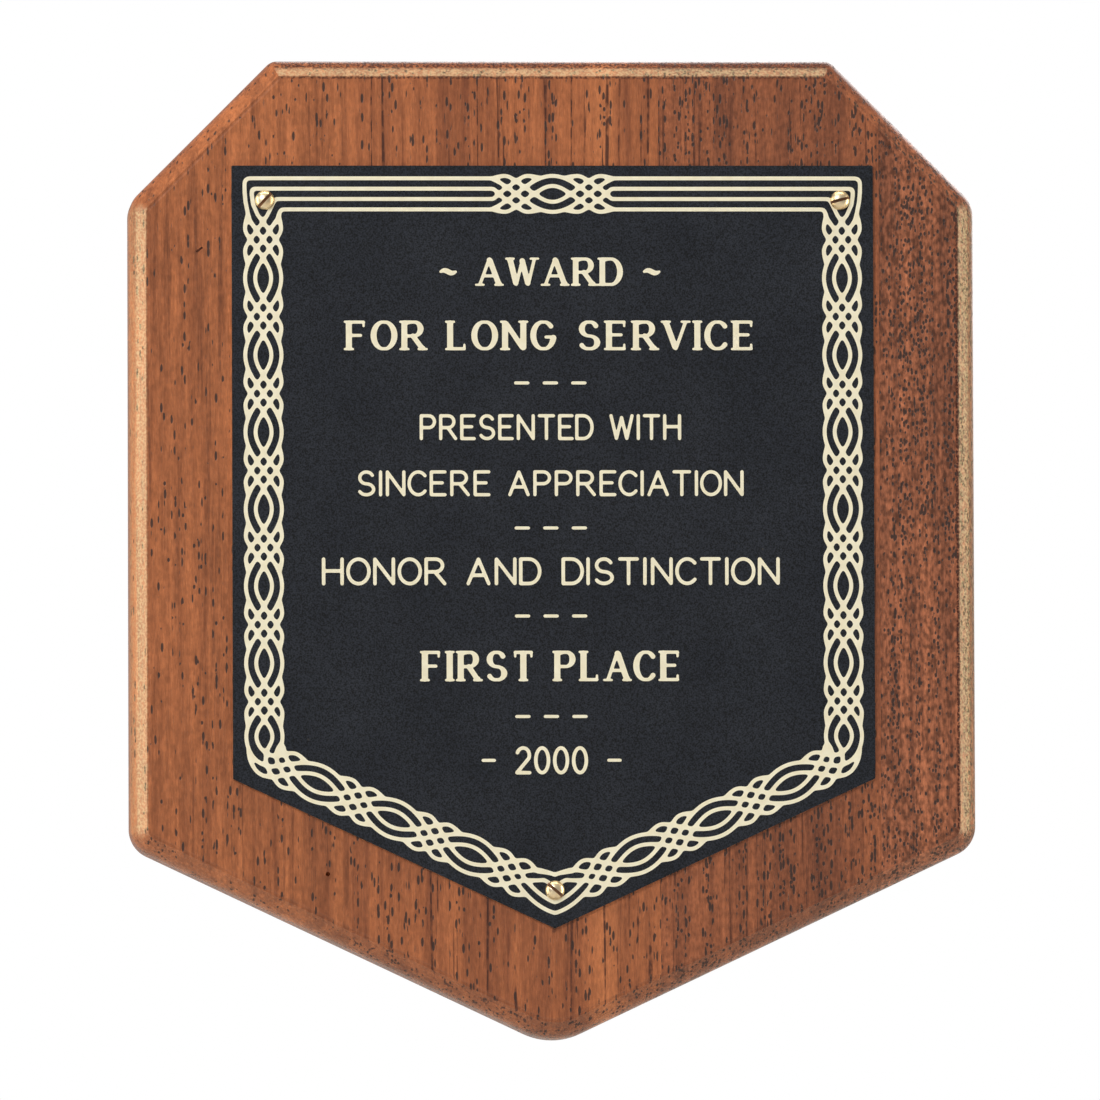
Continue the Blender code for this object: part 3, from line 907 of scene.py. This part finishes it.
def draw_top(engraving):
    """The left half of the top band: the knot in the middle, then four straight rails."""
    z = PLATE_TOP - TOP_INSET
    band = Band([(0, z), (-PLATE_HALF, z)])
    lattice = TOP_PITCH / 2
    draw_lens(engraving, band, lattice, TOP_PITCH, -1)
    reach = np.linspace(0, RAIL_START, 30)
    wave, inner, bulge = weave(reach, PITCH)
    to_rail = np.clip((reach - CROSSING_REACH) / (RAIL_START - CROSSING_REACH), 0, 1)
    inner = np.where(reach < CROSSING_REACH, inner, -RAIL_INNER * np.sin(to_rail * np.pi / 2))
    bulge = bulged(reach, RAIL_START, RAIL_OUTER)
    for line in (np.minimum(wave, RAIL_OUTER), inner, bulge):
        for side in (1, -1):
            engraving.stroke(band.at(lattice + reach, side * line), LINE_RADIUS)


def draw_corner(engraving):
    """The rails' turn at the upper left corner and the weave that takes them down."""
    x = -PLATE_HALF + SIDE_INSET
    z = PLATE_TOP - FIRST_LATTICE_DROP
    rise = FIRST_LATTICE_DROP - TOP_INSET
    rails = [rise + offset for offset in (RAIL_OUTER, RAIL_INNER, -RAIL_INNER, -RAIL_OUTER)]
    end = -(TOP_PITCH / 2 + RAIL_START) - x
    outer, lens = -1.02 * LENS_OUTER, LATTICE_HALF
    start = [(-0.5 * lens, CROSSING_REACH / 2), (-lens, CROSSING_REACH)]
    start_right = [(0.5 * lens, CROSSING_REACH / 2), (lens, CROSSING_REACH)]
    node = (0, CROSSING_REACH)
    # Each line from the lattice up to its rail, and how far its bends are rounded
    routes = (
        ([*start, *scaled((-3.2, 5.6), (-3.7, 8)), (outer, 10 * MM), (outer, rails[0])], 1.2),
        ([node, *scaled((-1.07, 5.1), (-2.05, 7.4), (-2.33, 9.4)), (-2.33 * MM, rails[1])], 0.6),
        ([node, *scaled((0.9, 5.1), (1.75, 6.9)), (2.6 * MM, rails[2])], 0.5),
        ([*start_right, *scaled((3.45, 5.2)), (3.5 * MM, rails[3])], 0.9),
    )
    for (points, radius), rail in zip(routes, rails):
        moved = [(x + a, z + b) for a, b in bent([*points, (end, rail)], radius * MM)]
        engraving.stroke(moved, LINE_RADIUS)
    reach = np.linspace(0, BULGE_END, 40)
    wave, inner, bulge = weave(reach, PITCH)
    crossing = reach < CROSSING_REACH
    for side in (1, -1):
        for line in (bulge, wave[crossing], inner[crossing]):
            engraving.stroke(np.stack([x + side * line, z + reach[: len(line)]], 1), LINE_RADIUS)


def knotwork():
    engraving = Engraving()
    draw_side(engraving)
    draw_top(engraving)
    draw_corner(engraving)
    engraving.field[:, engraving.shape[1] // 2 + 1 :] = FAR_OUT
    engraving.mirror()
    engraving.soften(9)
    return engraving.loops()


# ---- lettering

# Each letter: its width, then its strokes, in units of the capital height
BOWL = [(0, 1), (0.34, 1), *arc(0.36, 0.74, 0.28, 0.26, 90, -90), (0.34, 0.48), (0, 0.48)]
LETTERS = {
    "A": (0.80, [[(0, 0), (0.4, 1), (0.8, 0)], [(0.14, 0.34), (0.66, 0.34)]]),
    "C": (0.74, [arc(0.40, 0.5, 0.40, 0.5, 42, 318, 28)]),
    "D": (0.74, [[(0, 0), (0, 1), *arc(0.32, 0.5, 0.42, 0.5, 90, -90, 20), (0, 0)]]),
    "E": (0.60, [[(0.6, 1), (0, 1), (0, 0), (0.6, 0)], [(0, 0.52), (0.48, 0.52)]]),
    "F": (0.58, [[(0.58, 1), (0, 1), (0, 0)], [(0, 0.5), (0.46, 0.5)]]),
    "G": (0.80, [[*arc(0.40, 0.5, 0.40, 0.5, 42, 350, 30), (0.80, 0.44), (0.5, 0.44)]]),
    "H": (0.72, [[(0, 0), (0, 1)], [(0.72, 0), (0.72, 1)], [(0, 0.52), (0.72, 0.52)]]),
    "I": (0.00, [[(0, 0), (0, 1)]]),
    "L": (0.56, [[(0, 1), (0, 0), (0.56, 0)]]),
    "N": (0.72, [[(0, 0), (0, 1), (0.72, 0), (0.72, 1)]]),
    "O": (0.82, [arc(0.41, 0.5, 0.41, 0.5, 0, 360, 36)]),
    "P": (0.64, [[(0, 0), *BOWL]]),
    "R": (0.72, [[(0, 0), *BOWL], [(0.34, 0.48), (0.72, 0)]]),
    "S": (0.64, [[*arc(0.32, 0.74, 0.29, 0.26, 25, 270), *arc(0.32, 0.24, 0.32, 0.24, 90, -155)]]),
    "T": (0.68, [[(0, 1), (0.68, 1)], [(0.34, 1), (0.34, 0)]]),
    "V": (0.78, [[(0, 1), (0.39, 0), (0.78, 1)]]),
    "W": (1.02, [[(0, 1), (0.26, 0), (0.51, 0.92), (0.76, 0), (1.02, 1)]]),
    "0": (0.62, [arc(0.31, 0.5, 0.31, 0.5, 0, 360, 32)]),
    "2": (0.62, [[*arc(0.31, 0.71, 0.30, 0.29, 160, -30), (0, 0), (0.62, 0)]]),
    " ": (0.62, []),
}
PLAIN_GAP = 0.30
SERIF_GAP = 0.46
LONGEST_STRAIGHT = 8  # strokes with more points than this are curves
SERIF_RADIUS = 0.037
SERIF_REACH = 0.16
PLAIN_RADIUS = 0.063
HAIRLINE = 0.050
STEM_EXTRA = 0.046  # how much thicker an upright stroke is than a hairline
ROUND_SIDED = "CDGO"
ROUND_GAP = -0.07

# Generic wording: text, middle height above the plate's point, capital height, width, style
LINES = (
    ("AWARD", 138.0, 5.5, 29.5, "serif"),
    ("FOR LONG SERVICE", 124.6, 5.75, 84.6, "serif"),
    ("PRESENTED WITH", 105.3, 4.8, 54.3, "plain"),
    ("SINCERE APPRECIATION", 93.5, 4.8, 80.5, "plain"),
    ("HONOR AND DISTINCTION", 75.0, 5.15, 95.5, "plain"),
    ("FIRST PLACE", 55.1, 5.9, 53.1, "serif"),
    ("2000", 35.3, 5.2, 14.6, "plain"),
)
TEXT_X = -0.6 * MM  # the lettering stands a little left of the plate's middle
DASH_ROWS = (114.6, 84.1, 65.6, 44.5)


def shaded_stroke(points):
    """A serif letter's stroke as a dense line with radii: thick where it stands upright."""
    at = np.linspace(0, len(points) - 1, 12 * (len(points) - 1) + 1)
    if len(points) <= LONGEST_STRAIGHT:
        steps = np.diff(points, axis=0)
        upright = np.abs(steps[:, 1]) / np.maximum(np.hypot(*steps.T), 1e-9)
        rises = steps[:, 0] * steps[:, 1] > 0.02
        upright = np.where(rises, 0.3, upright)[np.minimum(at.astype(int), len(steps) - 1)]
    else:
        way = np.gradient(points, axis=0)
        upright = np.abs(way[:, 1]) / np.maximum(np.hypot(*way.T), 1e-9)
        upright = np.interp(at, np.arange(len(points)), upright)
    line = np.stack([np.interp(at, np.arange(len(points)), points[:, k]) for k in (0, 1)], 1)
    bold = HAIRLINE + STEM_EXTRA * upright**2
    line[:, 1] = np.clip(line[:, 1], bold - SERIF_RADIUS, 1 - bold + SERIF_RADIUS)
    return line, bold


def serifs(points, left):
    """The short cross strokes at a stroke's ends and at its corners on the letter's left side."""
    found = []
    for end, beside in ((points[0], points[1]), (points[-1], points[-2])):
        if min(abs(end[1]), abs(end[1] - 1)) > 0.01:
            continue
        if abs(end[1] - beside[1]) > 0.2:
            reach = (SERIF_REACH, 0)
            found.append(np.array([end - reach, end + reach]))
        elif abs(end[1] - beside[1]) < 0.01:
            inward = SERIF_REACH if end[1] < 0.5 else -SERIF_REACH
            found.append(np.array([end, end + (0, inward)]))
    for point in points[1:-1]:
        if abs(point[0] - left) < 0.01 and min(point[1], 1 - point[1]) < 0.01:
            found.append(np.array([point - (SERIF_REACH, 0), point]))
    return found


def letter_strokes(text, serif):
    """Every stroke of a line as points in capital heights, with radii, and the line's width."""
    strokes = []
    gap = SERIF_GAP if serif else PLAIN_GAP
    left = 0.0
    for letter, following in zip(text, text[1:] + " "):
        width, shapes = LETTERS[letter]
        for shape in shapes:
            points = np.array([(left + a, b) for a, b in shape])
            if serif:
                strokes.append(shaded_stroke(points))
                strokes += [(mark, SERIF_RADIUS) for mark in serifs(points, left)]
            else:
                strokes.append((points, PLAIN_RADIUS))
        left += width + (gap if letter != " " else 0)
        if " " not in (letter, following):
            left += ROUND_GAP * ((letter in ROUND_SIDED) + (following in ROUND_SIDED))
    return strokes, left - gap


def draw_line(engraving, text, middle, height, width, style):
    drawn, span = letter_strokes(text, style == "serif")
    height *= MM
    stretch = width * MM / span
    low = PLATE_POINT + middle * MM - height / 2
    for points, radius in drawn:
        placed = [(a * stretch - width * MM / 2 + TEXT_X, low + b * height) for a, b in points]
        engraving.stroke(placed, np.array(radius) * height * 1.15)


def draw_ornaments(engraving):
    """The rows of three dashes, and the short flourishes beside the first and last lines."""
    for middle in DASH_ROWS:
        z = PLATE_POINT + middle * MM
        for x in (TEXT_X - 6 * MM, TEXT_X, TEXT_X + 6 * MM):
            engraving.stroke([(x - 1.3 * MM, z), (x + 1.3 * MM, z)], 0.33 * MM)
    first, last = PLATE_POINT + LINES[0][1] * MM, PLATE_POINT + LINES[-1][1] * MM
    wave = np.linspace(-1, 1, 24)
    for side in (1, -1):
        x = TEXT_X + side * 21.4 * MM + wave * 1.6 * MM
        bold = (0.26 + 0.30 * (1 - wave**2)) * MM
        engraving.stroke(np.stack([x, first + 0.28 * MM * np.sin(-wave * np.pi)], 1), bold)
        x = TEXT_X + side * 13.2 * MM + wave * 1.2 * MM
        engraving.stroke(np.stack([x, np.full(24, last)], 1), 0.33 * MM)


def lettering():
    engraving = Engraving()
    for line in LINES:
        draw_line(engraving, *line)
    draw_ornaments(engraving)
    engraving.soften(1)
    return engraving.loops()


def make_plate():
    hole = SHANK_RADIUS + CLEARANCE
    holes = [arc(x, z, hole, hole, 0, 360, 32)[:-1] for x, z in screw_places()]
    black = lacquered_black("black_lacquer")
    edge = metal("plate_edge", (0.55, 0.42, 0.22), (0.34, 0.25, 0.12), 0.4, 0.2)
    bright = metal("engraved_brass", (1.0, 0.94, 0.75), (0.94, 0.86, 0.64), 0.42, 0.25, 0.2)
    mesh = flat_mesh("plate", [plate_outline(), *holes], PLATE_FRONT_Y, PLATE_BACK_Y)
    plate = add_piece("plate", mesh, black, "engraved_plate")
    soften(plate, 0.07 * MM)
    plate.data.materials.append(edge)
    for face in plate.data.polygons:
        face.material_index = 0 if face.normal.y < -0.4 else 1
    front, back = PLATE_FRONT_Y - LINE_RELIEF, PLATE_FRONT_Y + LINE_ROOT
    for name, loops in (("border_lines", knotwork()), ("lettering_lines", lettering())):
        lines = add_piece(name, flat_mesh(name, loops, front, back), bright)
    outlines = [plate_outline(SHEET_MARGIN), *holes]
    mesh = flat_mesh("sheet", outlines, PLATE_BACK_Y + SHEET_GAP, FRONT_Y - SHEET_GAP)
    sheet = add_piece("adhesive_sheet", mesh, adhesive("adhesive_film"), "plate_adhesive")


# ---- screws and hanger


def slotted(screw, place, top_y, facing, width, depth, radius, turn):
    """Cuts a driver slot across a screw's head and softens its edges."""
    x, z = place
    ys = sorted((top_y - facing * depth, top_y + facing * 2 * MM))
    low, high = (-1.5 * radius, ys[0], -width / 2), (1.5 * radius, ys[1], width / 2)
    cut(screw, box_mesh(low, high, turn, (x, 0, z)))
    soften(screw, 0.05 * MM, angle=40)


def make_plate_screws():
    brass = metal("turned_brass", (0.93, 0.78, 0.55), (0.78, 0.58, 0.36), 0.34, 0.15)
    # A darker brass for the faces inside the screws' slots
    slot_brass = metal("slot_brass_darker", (0.30, 0.15, 0.08), (0.16, 0.08, 0.05), 0.5, 0.3)
    for node, (x, z), turn in zip(SCREW_NODES, screw_places(), SLOT_TURNS):
        profile = []
        for step in range(15):
            angle = math.pi / 2 * step / 14
            profile.append((HEAD_RADIUS * math.sin(angle), HEAD_HEIGHT * math.cos(angle) + 0.02 * MM))
        profile += [(HEAD_RADIUS - 0.05 * MM, 0), (SHANK_RADIUS, 0)]
        profile += [(SHANK_RADIUS, -SHANK_LENGTH + 2 * SHANK_RADIUS), (0, -SHANK_LENGTH)]
        mesh = turned_mesh(node, profile, (x, PLATE_FRONT_Y, z))
        screw = add_piece(node + "_turned", mesh, brass, node)
        top_y = PLATE_FRONT_Y - HEAD_HEIGHT
        turn = math.radians(turn)
        slotted(screw, (x, z), top_y, -1, 0.62 * MM, 0.8 * MM, HEAD_RADIUS, -turn)
        # The faces inside the slot take the darker brass
        screw.data.materials.append(slot_brass)
        for face in screw.data.polygons:
            across = (face.center.z - z) * math.cos(turn) - (face.center.x - x) * math.sin(turn)
            in_slot = abs(across) < 0.32 * MM and PLATE_FRONT_Y > face.center.y > top_y + 0.2 * MM
            face.material_index = int(in_slot)


def keyhole_outline():
    """The hanger's round entry hole with the narrow slot that rises from it."""
    start = math.degrees(math.acos(SLOT_RADIUS / ENTRY_RADIUS))
    top = arc(0, SLOT_Z, SLOT_RADIUS, SLOT_RADIUS, 0, 180, 20)
    return top + arc(0, ENTRY_Z, ENTRY_RADIUS, ENTRY_RADIUS, 180 - start, 360 + start, 40)


def make_hanger():
    zinc = metal("zinc_plate", (0.70, 0.70, 0.67), (0.52, 0.52, 0.50), 0.34, 0.3, 1.0, (300, 300, 4000))
    end = (HANGER_HIGH[2] - HANGER_LOW[2] - HANGER_WIDTH) / 2
    outline = round_ended_slot(HANGER_Z - end, HANGER_Z + end, HANGER_WIDTH / 2)
    plate_mesh = flat_mesh("hanger", [outline, keyhole_outline()], HANGER_LOW[1], HANGER_HIGH[1])
    hanger = add_piece("keyhole_hanger", plate_mesh, zinc, "hanger_plate")
    cone = (FLAT_HEAD_RADIUS - FLAT_SHANK_RADIUS) / math.tan(COUNTERSINK)
    sinks = []
    for node in HANGER_NODES:
        x, _, z = centre_of(node)
        place = (x, HANGER_HIGH[1], z)
        head, shank = FLAT_HEAD_RADIUS + 0.1 * MM, FLAT_SHANK_RADIUS + 0.1 * MM
        grown = [(0, MM), (head + MM * math.tan(COUNTERSINK), MM)]
        grown += [(shank, -cone), (shank, -3 * MM), (0, -3 * MM)]
        sinks.append(turned_mesh("sink", grown, place, facing=1))
        head, shank = FLAT_HEAD_RADIUS, FLAT_SHANK_RADIUS
        profile = [(0, 0), (head, 0), (head, -0.12 * MM), (shank, -cone)]
        profile += [(shank, -SHANK_LENGTH + 2 * shank), (0, -SHANK_LENGTH)]
        mesh = turned_mesh(node, profile, place, facing=1)
        screw = add_piece(node + "_turned", mesh, zinc, node)
        turn = math.radians(20)
        slotted(screw, (x, z), HANGER_HIGH[1], 1, 0.6 * MM, 0.6 * MM, FLAT_HEAD_RADIUS, turn)
    cut(hanger, *sinks)
    soften(hanger, 0.12 * MM)


# ---- stage, light and camera


def make_floor():
    mesh = box_mesh((-2, -2, -0.02), (2, 2, 0))
    floor = new_object("floor", mesh)
    floor.location.z = -0.32
    paint = Shader("floor_paint")
    cloud = paint.noise((3, 3, 3), detail=3)
    tone = paint.ramp(cloud, (0.3, (0.62, 0.62, 0.61)), (0.7, (0.67, 0.67, 0.66)))
    paint.set(Base_Color=tone, Roughness=0.8)
    mesh.materials.append(paint.material)


def softbox(name, place, size, radiance, tint=(1, 1, 1)):
    """An area light aimed at the plaque, given by how bright its face looks."""
    data = bpy.data.lights.new(name, "AREA")
    data.color = tint
    data.shape = "RECTANGLE"
    data.size, data.size_y = size
    data.energy = radiance * math.pi * size[0] * size[1]
    light = new_object(name, data)
    light.location = place
    light.rotation_euler = (-Vector(place)).to_track_quat("-Z", "Y").to_euler()
    light.visible_camera = False


def make_light():
    world = bpy.data.worlds.new("studio")
    bpy.context.scene.world = world
    world.use_nodes = True
    tree = world.node_tree
    background = tree.nodes["Background"]
    seen = tree.nodes.new("ShaderNodeLightPath")
    power = tree.nodes.new("ShaderNodeMapRange")
    power.inputs["To Min"].default_value = 0.30
    power.inputs["To Max"].default_value = 1.0
    tree.links.new(seen.outputs["Is Camera Ray"], power.inputs["Value"])
    tree.links.new(power.outputs["Result"], background.inputs["Strength"])
    background.inputs["Color"].default_value = (1, 1, 1, 1)
    warm = (1.0, 0.91, 0.64)
    softbox("left_strip", (-0.95, -0.09, 0.02), (0.22, 1.0), 8.0, warm)
    softbox("right_strip", (0.95, -0.11, 0.02), (0.22, 1.0), 9.3, warm)
    softbox("top_strip", (0, -0.12, 0.95), (1.0, 0.10), 14.5, warm)
    softbox("front_fill", (-0.9, -1.5, 1.0), (0.9, 0.9), 7.45)
    softbox("back_fill", (0.6, 1.5, 0.7), (1.2, 1.2), 2.0)


def make_camera():
    """A long lens, almost square on: a little from the left and from below."""
    distance = 4.0
    width_seen = 1100 / 847 * 2 * HALF_WIDTH
    data = bpy.data.cameras.new("camera")
    data.sensor_width = 36
    data.lens = 36 * distance / width_seen
    camera = new_object("camera", data)
    target = Vector((-0.75 * MM, FRONT_Y, 0.4 * MM))
    azimuth, below = math.radians(3), math.radians(3)
    level = Vector((-math.sin(azimuth), -math.cos(azimuth), 0))
    out = level * math.cos(below) - Vector((0, 0, math.sin(below)))
    camera.location = target + out * distance
    turn = (-out).to_track_quat("-Z", "Y")
    roll = Matrix.Rotation(math.radians(-0.2), 3, "Z")
    camera.rotation_euler = (turn.to_matrix() @ roll).to_euler()
    bpy.context.scene.camera = camera


bpy.context.scene.view_settings.view_transform = "Standard"
make_staves()
make_plate()
make_plate_screws()
make_hanger()
make_floor()
make_light()
make_camera()
